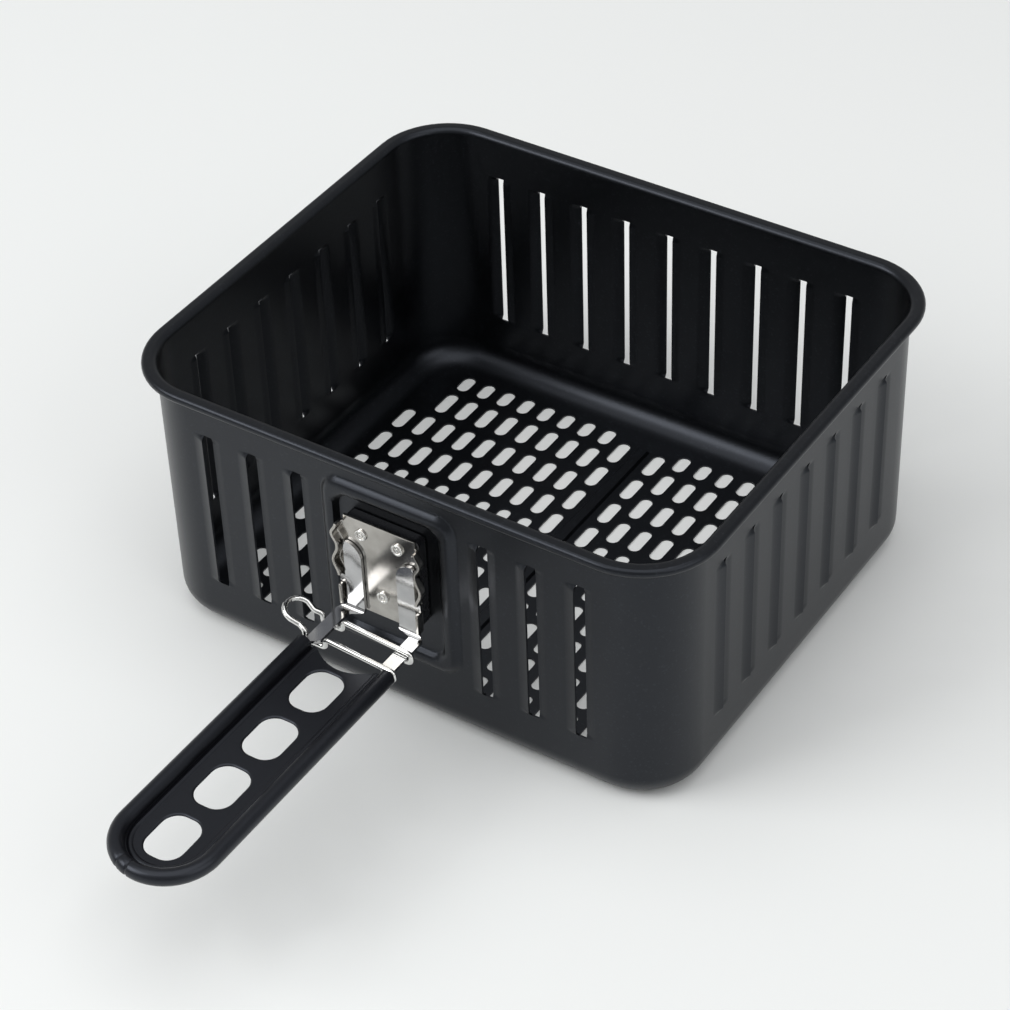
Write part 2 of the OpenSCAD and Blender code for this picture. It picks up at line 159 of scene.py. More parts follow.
def brightMetal(name, pale, dull, roughness, streak, length, height):
    # polished metal with faint drawn streaks along its height and cloudy wear
    material, tree, place, output = newMaterial(name)
    stretch = addNode(tree, "ShaderNodeMapping",
                      {"Scale": (perMetre(streak), perMetre(streak), perMetre(length))},
                      {"Vector": (place, "Object")})
    lines = addNode(tree, "ShaderNodeTexNoise", {"Scale": 1, "Detail": 3},
                    {"Vector": (stretch, "Vector")})
    clouds = addNode(tree, "ShaderNodeTexNoise", {"Scale": perMetre(6), "Detail": 2},
                     {"Vector": (place, "Object")})
    tint = addNode(tree, "ShaderNodeValToRGB", None, {"Fac": (clouds, "Fac")})
    tint.color_ramp.elements[0].position = 0.3
    tint.color_ramp.elements[0].color = linearColour(dull)
    tint.color_ramp.elements[1].position = 0.7
    tint.color_ramp.elements[1].color = linearColour(pale)
    sheen = addNode(tree, "ShaderNodeMapRange", {"To Min": roughness[0], "To Max": roughness[1]},
                    {"Value": (lines, "Fac")})
    bump = addNode(tree, "ShaderNodeBump", {"Strength": 0.3, "Distance": height / 1000},
                   {"Height": (lines, "Fac")})
    shader = addNode(tree, "ShaderNodeBsdfPrincipled", {"Metallic": 1},
                     {"Base Color": (tint, "Color"), "Roughness": (sheen, "Result"),
                      "Normal": (bump, "Normal")})
    tree.links.new(shader.outputs["BSDF"], output.inputs["Surface"])
    return material


# Moulded phenolic pad: glossy black, smooth from the tool. Its black is partly painted shade, standing
# in for the shadowed pocket round the bracket.
pad = dict(dark="#0c0c0e", light="#16171a", roughness=(0.2, 0.32), flow=3, corner=2.4, edge=0.7)


def padPlasticAndPaintedShade():
    material, tree, place, output = newMaterial("phenolicPadAndPaintedShade")
    flow = addNode(tree, "ShaderNodeTexNoise", {"Scale": perMetre(pad["flow"]), "Detail": 2},
                   {"Vector": (place, "Object")})
    # near-black pad colour: partly the pad's own black, partly painted shade of the pocket round the
    # bracket
    film = addNode(tree, "ShaderNodeValToRGB", None, {"Fac": (flow, "Fac")})
    film.color_ramp.elements[0].color = linearColour(pad["dark"])
    film.color_ramp.elements[1].color = linearColour(pad["light"])
    sheen = addNode(tree, "ShaderNodeMapRange",
                    {"To Min": pad["roughness"][0], "To Max": pad["roughness"][1]},
                    {"Value": (flow, "Fac")})
    shader = addNode(tree, "ShaderNodeBsdfPrincipled", {"IOR": 1.55},
                     {"Base Color": (film, "Color"), "Roughness": (sheen, "Result")})
    tree.links.new(shader.outputs["BSDF"], output.inputs["Surface"])
    return material


coatedLook = coatedSteel()
gripLook = gripEnamel()
padAndPaintedShadeLook = padPlasticAndPaintedShade()
# Stamped stainless steel: bright, slightly warm, with soft press marks
stainlessLook = brightMetal("stampedStainless", "#b9b6b1", "#a3a09b", (0.12, 0.2), 0.5, 14, 0.0005)
# Chrome plate over spring strip: mirror bright, a little cooler
armLook = brightMetal("chromedStrip", "#c4c4c4", "#b4b4b5", (0.08, 0.14), 0.6, 12, 0.0006)
# Chrome plate over drawn wire
wireLook = brightMetal("chromedWire", "#e8e8e6", "#dadad8", (0.07, 0.11), 0.8, 6, 0.0005)
# Nickel-plated rivets and washers
rivetLook = brightMetal("nickelPlate", "#ecebe8", "#dddcd9", (0.1, 0.16), 0.5, 2, 0.0006)
print("materials made")


def boxOf(node):
    low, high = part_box(node)
    return low * 1000, high * 1000


def smooth(t):
    t = min(max(t, 0), 1)
    return t * t * (3 - 2 * t)


def steps(low, high, count):
    return [low + (high - low) * i / count for i in range(count + 1)]


def mergedLines(lines, gap):
    # sorted grid lines, none closer together than gap
    kept = []
    for line in sorted(lines):
        if not kept or line - kept[-1] > gap:
            kept.append(line)
    return kept


def filled(fixed, low, high, spacing):
    # the fixed lines, with plain lines added wherever two of them are far apart
    lines = mergedLines([low, high] + [f for f in fixed if low < f < high], 0.02)
    full = []
    for a, b in zip(lines, lines[1:]):
        full += steps(a, b, max(1, math.ceil((b - a) / spacing)))[:-1]
    return full + [high]


def settle(piece):
    # puts what the modifiers give into the mesh itself
    old = piece.data
    graph = bpy.context.evaluated_depsgraph_get()
    piece.data = bpy.data.meshes.new_from_object(piece.evaluated_get(graph))
    piece.modifiers.clear()
    bpy.data.meshes.remove(old)


def makePiece(name, points, faces, body, look, nodes=(), thick=0, side=0, edge=0,
              edgeSteps=2, edgeAngle=50, sharp=35):
    # mesh in metres, doubled up to a sheet and given round edges, then fixed as it is
    mesh = bpy.data.meshes.new(name)
    mesh.from_pydata([Vector(p) / 1000 for p in points], [], faces)
    piece = bpy.data.objects.new(name, mesh)
    bpy.context.scene.collection.objects.link(piece)
    weld = piece.modifiers.new("weld", "WELD")
    weld.merge_threshold = 0.000002
    if thick:
        sheet = piece.modifiers.new("sheet", "SOLIDIFY")
        sheet.thickness = thick / 1000
        sheet.offset = side
        sheet.use_even_offset = True
    if edge:
        rounding = piece.modifiers.new("edges", "BEVEL")
        rounding.width = edge / 1000
        rounding.segments = edgeSteps
        rounding.limit_method = "ANGLE"
        rounding.angle_limit = math.radians(edgeAngle)
    settle(piece)
    piece.data.polygons.foreach_set("use_smooth", [True] * len(piece.data.polygons))
    piece.data.set_sharp_from_angle(angle=math.radians(sharp))
    if edge:
        # keeps the flat faces flat in reflections, so that only the edges turn
        flat = piece.modifiers.new("flat", "WEIGHTED_NORMAL")
        flat.keep_sharp = True
        settle(piece)
    piece.data.name = name
    piece.data.materials.clear()
    piece.data.materials.append(look)
    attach(piece, body)
    if nodes:
        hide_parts(*nodes)
    return piece


def slotOutline(x, y, width, length, segments=12):
    # a slot with round ends, long along y
    points = []
    for end, first in ((1, 0), (-1, 180)):
        for i in range(segments + 1):
            a = math.radians(first + 180 * i / segments)
            points.append((x + width / 2 * math.cos(a),
                           y + end * (length - width) / 2 + width / 2 * math.sin(a)))
    return points


def roundRect(width, height, radius, x=0, z=0, segments=8):
    points = []
    for sx, sz, first in ((1, 1, 0), (-1, 1, 90), (-1, -1, 180), (1, -1, 270)):
        for i in range(segments + 1):
            a = math.radians(first + 90 * i / segments)
            points.append((x + sx * (width / 2 - radius) + radius * math.cos(a),
                           z + sz * (height / 2 - radius) + radius * math.sin(a)))
    return points


def insideSlot(x, y, slot):
    cx, cy, width, length = slot
    reach = max(abs(y - cy) - (length - width) / 2, 0)
    return math.hypot(x - cx, reach) < width / 2 - 0.01


def triangles(loops, keep):
    # triangles between closed outlines, as flat points and faces
    points, edges = [], []
    for loop in loops:
        first = len(points)
        points += [Vector(p) for p in loop]
        edges += [(first + i, first + (i + 1) % len(loop)) for i in range(len(loop))]
    flat, _, faces, *_ = delaunay_2d_cdt(points, edges, [], 0, 0.0005)
    kept = []
    for face in faces:
        middle = sum((flat[i] for i in face), Vector((0, 0))) / len(face)
        if keep(middle.x, middle.y):
            kept.append(tuple(face))
    return flat, kept


# Pan: one drawn sheet, from the floor over the wall to the rolled rim
pan = dict(corner=27, bottom=12, sheet=0.8, bead=3.8, rimOut=5.6, flare=1.8, cornerSteps=14)
louvres = dict(pitch=21, back=9, side=7, frontEach=3, low=26, high=101.5, slot=(3.6, 2.3),
               lipRun=5.5, lipOut=1.5, dipRun=4, dipIn=0.5, taper=2.4)
seat = dict(width=61, low=30, high=108.5, band=8, up=2.5, corner=9, pocketCorner=5,
            rise=3.2, fall=2.6)
floorHoles = dict(width=5.8, length=14.4, shortLength=10.5, firstX=18.8, pitchX=10.5,
                  flankX=8.75, shortY=82.2, firstY=66.3, pitchY=18.25, rows=9, columns=8)
rib = dict(width=6, slope=0.9, up=1.2, half=82.2)

shellHigh = boxOf("basket_shell")[1]
halfW = shellHigh.x - pan["rimOut"]
halfD = shellHigh.y - pan["rimOut"]
panHigh = shellHigh.z


def louvreCentres(wall):
    count = (louvres["back"], louvres["side"])[wall % 2]
    middle = (count - 1) / 2
    centres = []
    for i in range(count):
        edge = i < louvres["frontEach"] or i >= count - louvres["frontEach"]
        if wall != 0 or edge:
            centres.append((i - middle) * louvres["pitch"])
    return centres


def louvreWay(wall):
    # the back wall's louvres face the other way
    return -1 if wall == 2 else 1


def wallLines(wall):
    reach = (halfW, halfD)[wall % 2] - pan["corner"]
    half = louvres["slot"][wall % 2] / 2
    fixed = []
    way = louvreWay(wall)
    for centre in louvreCentres(wall):
        fixed += [centre + way * v for v in steps(-half - louvres["lipRun"], -half, 6)]
        fixed += [centre + way * v for v in steps(half, half + louvres["dipRun"], 5)]
    if wall == 0:
        outer = seat["width"] / 2
        for side in (-1, 1):
            fixed += [side * x for x in steps(outer - 13, outer + 0.5, 15)]
    return filled(fixed, -reach, reach, 8)


def panStations():
    # places round the pan, counter-clockwise from above: point on the wall, outward direction
    stations = []
    for wall in range(4):
        along = (halfW, halfD)[wall % 2] - pan["corner"]
        away = (halfD, halfW)[wall % 2]
        turn = math.radians(90 * wall)
        c, s = math.cos(turn), math.sin(turn)
        for u in wallLines(wall):
            stations.append(dict(wall=wall, u=u, point=(u * c + away * s, u * s - away * c),
                                 out=(s, -c)))
        cx, cy = along * c + (away - pan["corner"]) * s, along * s - (away - pan["corner"]) * c
        for i in range(1, pan["cornerSteps"]):
            a = turn - math.pi / 2 + math.pi / 2 * i / pan["cornerSteps"]
            out = (math.cos(a), math.sin(a))
            stations.append(dict(wall=None, u=0, out=out, point=(
                cx + pan["corner"] * out[0], cy + pan["corner"] * out[1])))
    return stations


def panRows():
    # inner face of the sheet from floor to rolled bead: inset from the outer wall, and height
    rows = []
    radius = pan["bottom"] - pan["sheet"]
    for i in range(9):
        a = math.pi / 2 * i / 9
        rows.append((pan["bottom"] - radius * math.sin(a), pan["bottom"] - radius * math.cos(a)))
    bendZ = panHigh - pan["sheet"] - pan["flare"]
    low, high, taper = louvres["low"], louvres["high"], louvres["taper"]
    fixed = steps(low, low + taper, 5) + steps(high - taper, high, 5)
    fixed += steps(seat["low"] - 0.5, seat["low"] + 13, 14)
    fixed += steps(seat["high"] - 13, seat["high"] + 0.5, 14)
    rows += [(pan["sheet"], z) for z in filled(fixed, pan["bottom"], bendZ, 7)]
    flare = pan["flare"] + pan["sheet"]
    for i in range(1, 7):
        a = math.pi / 2 * i / 6
        rows.append((-pan["flare"] + flare * math.cos(a), bendZ + flare * math.sin(a)))
    beadR = pan["bead"] / 2
    beadX = pan["rimOut"] - beadR
    for i in range(20):
        a = math.radians(90 - 232 * i / 19)
        rows.append((-beadX - beadR * math.cos(a), panHigh - beadR + beadR * math.sin(a)))
    return rows


def louvreLift(v, z, half):
    # how far the sheet is pressed outward beside a slot
    low, high, taper = louvres["low"], louvres["high"], louvres["taper"]
    ends = smooth((z - low) / taper) * smooth((high - z) / taper)
    if -half - louvres["lipRun"] < v <= -half + 0.01:
        return louvres["lipOut"] * ends * ((v + half) / louvres["lipRun"] + 1) ** 1.6
    if half - 0.01 <= v < half + louvres["dipRun"]:
        return -louvres["dipIn"] * ends * smooth(1 - (v - half) / louvres["dipRun"])
    return 0


def insideRound(u, z, halfWidth, halfHeight, middle, radius):
    # distance inside a rectangle with round corners
    dx = abs(u) - halfWidth + radius
    dz = abs(z - middle) - halfHeight + radius
    return radius - math.hypot(max(dx, 0), max(dz, 0)) - min(max(dx, dz), 0)


def seatLift(u, z):
    middle = (seat["low"] + seat["high"]) / 2
    halfHeight = (seat["high"] - seat["low"]) / 2
    outer = insideRound(u, z, seat["width"] / 2, halfHeight, middle, seat["corner"])
    inner = insideRound(u, z, seat["width"] / 2 - seat["band"], halfHeight - seat["band"],
                        middle, seat["pocketCorner"])
    return seat["up"] * smooth(outer / seat["rise"]) * smooth(-inner / seat["fall"])


def floorSlots():
    f = floorHoles
    slots = []
    for side in (-1, 1):
        columns = [side * (f["firstX"] + c * f["pitchX"]) for c in range(f["columns"] + 1)]
        slots += [(x, f["shortY"], f["width"], f["shortLength"]) for x in columns[:-1]]
        for r in range(f["rows"]):
            last = f["columns"] if r in (0, f["rows"] - 1) else f["columns"] + 1
            y = f["firstY"] - r * f["pitchY"]
            slots += [(x, y, f["width"], f["length"]) for x in columns[:last]]
            slots.append((side * f["flankX"], y + f["pitchY"] / 2, f["width"], f["length"]))
    return slots


def makePan():
    stations, rows = panStations(), panRows()
    points, faces = [], []
    for inset, z in rows:
        for s in stations:
            lift = 0
            if s["wall"] is not None and pan["bottom"] < z and inset > 0:
                way, half = louvreWay(s["wall"]), louvres["slot"][s["wall"] % 2] / 2
                for centre in louvreCentres(s["wall"]):
                    lift += louvreLift((s["u"] - centre) * way, z, half)
                if s["wall"] == 0:
                    lift += seatLift(s["u"], z)
            points.append((s["point"][0] + s["out"][0] * (lift - inset),
                           s["point"][1] + s["out"][1] * (lift - inset), z))
    count = len(stations)
    for j in range(len(rows) - 1):
        middle = (rows[j][1] + rows[j + 1][1]) / 2
        cut = louvres["low"] < middle < louvres["high"] and rows[j][0] > 0
        for i in range(count):
            k = (i + 1) % count
            a, b = stations[i], stations[k]
            if cut and a["wall"] is not None and a["wall"] == b["wall"]:
                u, half = (a["u"] + b["u"]) / 2, louvres["slot"][a["wall"] % 2] / 2
                if any(abs(u - centre) < half for centre in louvreCentres(a["wall"])):
                    continue
            faces.append((j * count + i, (j + 1) * count + i, (j + 1) * count + k, j * count + k))

    slots = floorSlots()
    ribOuter = [(sx * rib["width"] / 2, sy * rib["half"])
                for sx, sy in ((1, 1), (-1, 1), (-1, -1), (1, -1))]
    ribInner = [(x - math.copysign(rib["slope"], x), y - math.copysign(rib["slope"], y))
                for x, y in ribOuter]
    loops = [[p[:2] for p in points[:count]], ribOuter, ribInner]
    loops += [slotOutline(*slot) for slot in slots]
    flat, floorFaces = triangles(
        loops, lambda x, y: not any(insideSlot(x, y, slot) for slot in slots))
    first = len(points)
    for p in flat:
        top = abs(p.x) < rib["width"] / 2 - 0.1 and abs(p.y) < rib["half"] - 0.1
        points.append((p.x, p.y, rows[0][1] + (rib["up"] if top else 0)))
    faces += [tuple(first + i for i in face) for face in floorFaces]
    sheet = makePiece("panSheet", points, faces, "basket", coatedLook,
                      ["basket_shell"], thick=pan["sheet"], side=-1, edge=0.12, edgeSteps=1,
                      edgeAngle=65)
    for vertex in sheet.data.vertices:
        vertex.co.z = max(vertex.co.z, 0)  # the underside stays flat along the rib
    return sheet


panSheet = makePan()
print("pan made:", len(panSheet.data.polygons), "faces")


# Pad, bracket, rivets and washers
def makePlate(name, outline, near, far, body, look, nodes, edge):
    # an outline in x and z, given thickness along y
    count = len(outline)
    points = [(x, y, z) for y in (near, far) for x, z in outline]
    faces = [tuple(range(count)), tuple(range(2 * count - 1, count - 1, -1))]
    faces += [(i, i + count, (i + 1) % count + count, (i + 1) % count) for i in range(count)]
    return makePiece(name, points, faces, body, look, nodes, edge=edge, edgeSteps=3)


padLow, padHigh = boxOf("bracket_spacer")
# the pad's black also paints the shade in the pocket above and beside the bracket plate
makePlate("bracketPad",
          roundRect(padHigh.x - padLow.x, padHigh.z - padLow.z, pad["corner"], 0,
                    (padHigh.z + padLow.z) / 2),
          padHigh.y, padLow.y, "basket", padAndPaintedShadeLook, ["bracket_spacer"], pad["edge"])

bracket = dict(width=36.4, thick=1.2, fold=1.4, flangeLow=1.5, flangeHigh=3, notchZ=66.4,
               notchHigh=4.4, bulge=2.2, bulgeFrom=14.5, bulgeRun=2, firstWave=14, waveGap=1)


def flangeBulge(z):
    def wave(low, high):
        if not low < z < high:
            return 0
        return bracket["bulge"] * (1 - math.cos(2 * math.pi * (z - low) / (high - low))) / 2

    first = bracket["notchZ"] + bracket["notchHigh"] / 2
    second = first + bracket["firstWave"] + bracket["waveGap"]
    return wave(first, first + bracket["firstWave"]) + wave(second, plateHigh - bracket["flangeHigh"])


bracketLow, bracketHigh = boxOf("handle_bracket")
plateLow, plateHigh = bracketLow.z, bracketHigh.z


def makeBracket():
    half = bracket["thick"] / 2
    edgeX = bracket["width"] / 2 - half
    plateY = bracketHigh.y - half
    front = bracketLow.y
    across = []
    for i in range(5):
        across.append((edgeX, front + (plateY - bracket["fold"] - front) * i / 4))
    for i in range(1, 7):
        a = math.pi / 2 * i / 6
        across.append((edgeX - bracket["fold"] * (1 - math.cos(a)),
                       plateY - bracket["fold"] * (1 - math.sin(a))))
    across += [(x, plateY) for x in steps(edgeX - bracket["fold"], 0, 5)[1:]]
    across = [(-x, y) for x, y in across] + [(x, y) for x, y in across[-2::-1]]
    notch = (bracket["notchZ"] - bracket["notchHigh"] / 2, bracket["notchZ"] + bracket["notchHigh"] / 2)
    ends = (plateLow + bracket["flangeLow"], plateHigh - bracket["flangeHigh"])
    lines = filled(list(notch) + list(ends), plateLow, plateHigh, 0.9)
    points, faces = [], []
    for z in lines:
        for x, y in across:
            share = smooth((abs(x) - bracket["bulgeFrom"]) / bracket["bulgeRun"])
            points.append((x + math.copysign(flangeBulge(z) * share, x), y, z))
    count = len(across)
    for j in range(len(lines) - 1):
        z = (lines[j] + lines[j + 1]) / 2
        for i in range(count - 1):
            x, y = (across[i][0] + across[i + 1][0]) / 2, (across[i][1] + across[i + 1][1]) / 2
            folded = abs(x) > edgeX - bracket["fold"]
            if folded and not ends[0] < z < ends[1]:
                continue
            if folded and y < plateY - half and notch[0] < z < notch[1]:
                continue
            faces.append((j * count + i, j * count + i + 1, (j + 1) * count + i + 1,
                          (j + 1) * count + i))
    return makePiece("bracketPlate", points, faces, "basket", stainlessLook,
                     ["handle_bracket"], thick=bracket["thick"], side=0, edge=0.18, edgeSteps=2)


makeBracket()


def lathe(name, profile, x, z, look, nodes, segments=40):
    # a profile of radius and depth, turned about an axis along y
    points, faces = [], []
    for radius, y in profile:
        for i in range(segments):
            a = 2 * math.pi * i / segments
            points.append((x + radius * math.cos(a), y, z + radius * math.sin(a)))
    rings = len(profile)
    for j in range(rings):
        k = (j + 1) % rings
        for i in range(segments):
            n = (i + 1) % segments
            faces.append((j * segments + i, j * segments + n, k * segments + n, k * segments + i))
    return makePiece(name, points, faces, "basket", look, nodes, sharp=40)


rivet = dict(head=2.6, rim=1.0, bore=0.9, shank=1.6, well=1.6)
washer = dict(outer=4.5, inner=1.62, corner=0.25)


def makeRivet(name):
    low, high = boxOf(name)
    x, z = (low.x + high.x) / 2, (low.z + high.z) / 2
    front, back = low.y, high.y
    seatY, tailY = front + rivet["rim"], back - rivet["rim"]
    head, bore = rivet["head"], rivet["bore"]
    roll = (head - rivet["well"]) / 2
    profile = []
    for i in range(13):
        a = math.pi * i / 12
        profile.append((head - roll + roll * math.cos(a), front + 0.5 - 0.5 * math.sin(a)))
    profile += [(1.5, front + 0.8), (1.2, front + 0.86), (1.02, front + 0.8), (0.98, front + 0.3),
                (0.85, front + 0.12), (0.5, front + 0.06), (0.3, front + 0.16), (0.3, front + 0.5)]
    profile += [(0.3, back - 0.3), (bore, back - 0.12)]
    for i in range(9):
        a = math.pi * i / 8
        profile.append((head - roll - roll * math.cos(a), back - 0.45 + 0.45 * math.sin(a)))
    profile += [(head, tailY), (rivet["shank"], tailY), (rivet["shank"], seatY), (head, seatY)]
    return lathe(name + "Eyelet", profile, x, z, rivetLook, [name])


def makeWasher(name):
    low, high = boxOf(name)
    x, z = (low.x + high.x) / 2, (low.z + high.z) / 2
    outer, inner, c = washer["outer"], washer["inner"], washer["corner"]
    profile = [(outer, low.y + c), (outer, high.y - c), (outer - c, high.y), (inner, high.y),
               (inner, low.y), (outer - c, low.y)]
    return lathe(name + "Ring", profile, x, z, rivetLook, [name])


for place in ("top_left", "top_right", "bottom"):
    makeRivet(place + "_rivet")
    makeWasher(place + "_washer")
print("bracket made")


# Spring arms: strip bent from an upright tab into a flat leg
arm = dict(thick=1.4, bend=3, tabIn=8, tabOut=16, tabCorner=7, legIn=13.8, legOut=19.6,
           outerCorner=1.4, taperFrom=133, taperTo=136, tailIn=17.4, lugOut=18.4, lugZ=66.4,
           lugHigh=3.6)


def makeArm(name, body, side):
    low, high = boxOf(name)
    half = arm["thick"] / 2
    tabY = high.y - half
    legZ = low.z + half
    top, end = high.z, low.y
    rows = []
    bendZ, bendY = legZ + arm["bend"], tabY - arm["bend"]
    lug = (arm["lugZ"] - arm["lugHigh"] / 2, arm["lugZ"] + arm["lugHigh"] / 2)
    corner = arm["outerCorner"]
    heights = steps(top, top - corner, 5) + steps(top - corner, top - arm["tabCorner"], 8)
    heights += [lug[1] + 0.06, lug[1], lug[0], lug[0] - 0.06, bendZ]
    for z in sorted(filled(heights, bendZ, top, 3), reverse=True):
        drop = arm["tabCorner"] - (top - z)
        inner = arm["tabIn"]
        if drop > 0:
            inner += arm["tabCorner"] - math.sqrt(max(arm["tabCorner"] ** 2 - drop ** 2, 0))
        outer = arm["tabOut"]
        drop = corner - (top - z)
        if drop > 0:
            outer -= corner - math.sqrt(max(corner ** 2 - drop ** 2, 0))
        if lug[0] <= z <= lug[1]:
            outer = arm["lugOut"]
        rows.append((tabY, z, inner, outer))
    for i in range(1, 11):
        a = math.pi / 2 * i / 10
        share = i / 10
        outer = arm["tabOut"] + (arm["legOut"] - arm["tabOut"]) * smooth(share)
        inner = arm["tabIn"] + (arm["legIn"] - arm["tabIn"]) * smooth((share - 0.45) / 0.55)
        rows.append((bendY + arm["bend"] * math.cos(a), bendZ - arm["bend"] * math.sin(a),
                     inner, outer))
    for y in filled([-arm["taperFrom"], -arm["taperTo"]], end, bendY, 1.2)[::-1][1:]:
        inner, outer = arm["legIn"], arm["legOut"]
        narrow = smooth((-y - arm["taperFrom"]) / (arm["taperTo"] - arm["taperFrom"]))
        inner += (arm["tailIn"] - inner) * narrow
        rows.append((y, legZ, inner, outer))
    across = 6
    points = [(side * (inner + (outer - inner) * i / across), y, z)
              for y, z, inner, outer in rows for i in range(across + 1)]
    count = across + 1
    faces = [(j * count + i, j * count + i + 1, (j + 1) * count + i + 1, (j + 1) * count + i)
             for j in range(len(rows) - 1) for i in range(across)]
    return makePiece(name + "Strip", points, faces, body, armLook, [name],
                     thick=arm["thick"], side=0, edge=0.25, edgeSteps=2)


makeArm("left_arm", "arm_left", -1)
makeArm("right_arm", "arm_right", 1)
print("arms made")

# Wire lock: one bent wire, hooked round both arms, with a thumb loop on the left
wire = dict(diameter=2.2, gap=0.3, rodY=121.2, pitch=11.5, skew=2, loop=12, up=5, bend=1.9,
            sides=14)


def roundedPath(points, radius, segments=6):
    # straight runs joined by arcs of up to that radius
    path = [points[0]]
    for a, b, c in zip(points, points[1:], points[2:]):
        inward, onward = (a - b), (c - b)
        turn = inward.angle(onward)
        reach = min(radius / math.tan(turn / 2), inward.length * 0.49, onward.length * 0.49)
        start, end = b + inward.normalized() * reach, b + onward.normalized() * reach
        for i in range(segments + 1):
            t = i / segments
            path.append((start.lerp(b, t)).lerp(b.lerp(end, t), t))
    return path + [points[-1]]


def tube(path, radius, sides, roundEnds=4):
    # a round tube along a path, with domed ends
    points, faces = [], []
    tangents = []
    for i in range(len(path)):
        ahead, behind = path[min(i + 1, len(path) - 1)], path[max(i - 1, 0)]
        tangents.append((ahead - behind).normalized())
    side = tangents[0].orthogonal().normalized()
    rings = []
    for i, (p, t) in enumerate(zip(path, tangents)):
        if i:
            side = (side - t * side.dot(t)).normalized()
        rings.append((p, t, side, radius))
    caps = [math.pi / 2 * k / roundEnds for k in range(roundEnds)]
    p, t, s, _ = rings[0]
    rings = [(p - t * radius * math.cos(a), t, s, radius * math.sin(a)) for a in caps[1:]] + rings
    p, t, s, _ = rings[-1]
    rings += [(p + t * radius * math.cos(a), t, s, radius * math.sin(a)) for a in caps[:0:-1]]
    for p, t, s, r in rings:
        other = t.cross(s)
        for i in range(sides):
            a = 2 * math.pi * i / sides
            points.append(p + (s * math.cos(a) + other * math.sin(a)) * r)
    for j in range(len(rings) - 1):
        for i in range(sides):
            k = (i + 1) % sides
            faces.append((j * sides + i, j * sides + k, (j + 1) * sides + k, (j + 1) * sides + i))
    last = (len(rings) - 1) * sides
    faces += [tuple(range(sides - 1, -1, -1)), tuple(last + i for i in range(sides))]
    return points, faces


def makeWire():
    armLow = boxOf("right_arm")[0]
    r = wire["diameter"] / 2
    legZ = armLow.z + arm["thick"] / 2
    over = legZ + arm["thick"] / 2 + wire["gap"] + r
    under = legZ - arm["thick"] / 2 - wire["gap"] - r
    out = arm["legOut"] + wire["gap"] + r + 0.1
    inside = arm["legIn"] - wire["gap"] - r - 0.8
    rise = wire["up"]

    def half(y, tuck):
        back = y + wire["skew"]
        return [(out - 5, -back, under), (out, -back, under), (out, -back, over),
                (-inside, -y, over), (-inside, -y, under), (-out, -y, under),
                (-out, -y, over), (-out - 3, -y - tuck, over + 0.2 * rise),
                (-out - 0.55 * wire["loop"], -y, over + 0.6 * rise)]

    front, back = half(wire["rodY"], 1), half(wire["rodY"] + wire["pitch"], -1)
    tip = []
    for i in range(9):
        a = math.radians(-70 + 140 * i / 8)
        tip.append((-out - 0.55 * wire["loop"] - 0.45 * wire["loop"] * math.cos(a),
                    -wire["rodY"] - wire["pitch"] / 2 - wire["pitch"] / 2 * math.sin(a),
                    over + 0.6 * rise + 0.4 * rise * math.cos(a)))
    path = roundedPath([Vector(p) for p in front + tip + back[::-1]], wire["bend"])
    points, faces = tube(path, r, wire["sides"])
    return makePiece("lockWire", points, faces, "lock", wireLook, ["wire_lock"],
                     sharp=60)


makeWire()
print("wire made")

# Grip: sheet with a rolled edge, a pressed ridge and four holes
grip = dict(thick=1, plateEdge=13.1, tipFromEnd=22.4, beadX=19.14, beadMid=2.75, holeWidth=17,
            holeLength=22.4, holeCorner=7, holePitch=29, firstHole=19, scoop=5.5, lip=0.5,
            lipDown=0.4, seams=(1.72, 1.96), seamDeep=0.45, seamHalf=0.05,
            plateDrop=1.4, ridge=((13.4, 0.12), (13.8, 0.5), (14.2, 0.62), (14.6, 0.5),
                                  (15.0, 0.1), (15.5, -0.1), (16.1, -0.05)))


def gripSection(plateZ, beadZ, dent):
    # middle of the sheet, from the flat plate outward: distance from the middle line, height
    section = [(grip["plateEdge"], plateZ)] + [(x, plateZ + up) for x, up in grip["ridge"]]
    for i in range(23):
        a = math.radians(207 - 327 * i / 22)
        section.append((grip["beadX"] + (grip["beadMid"] - dent) * math.cos(a),
                        beadZ + (grip["beadMid"] - dent) * math.sin(a)))
    return section


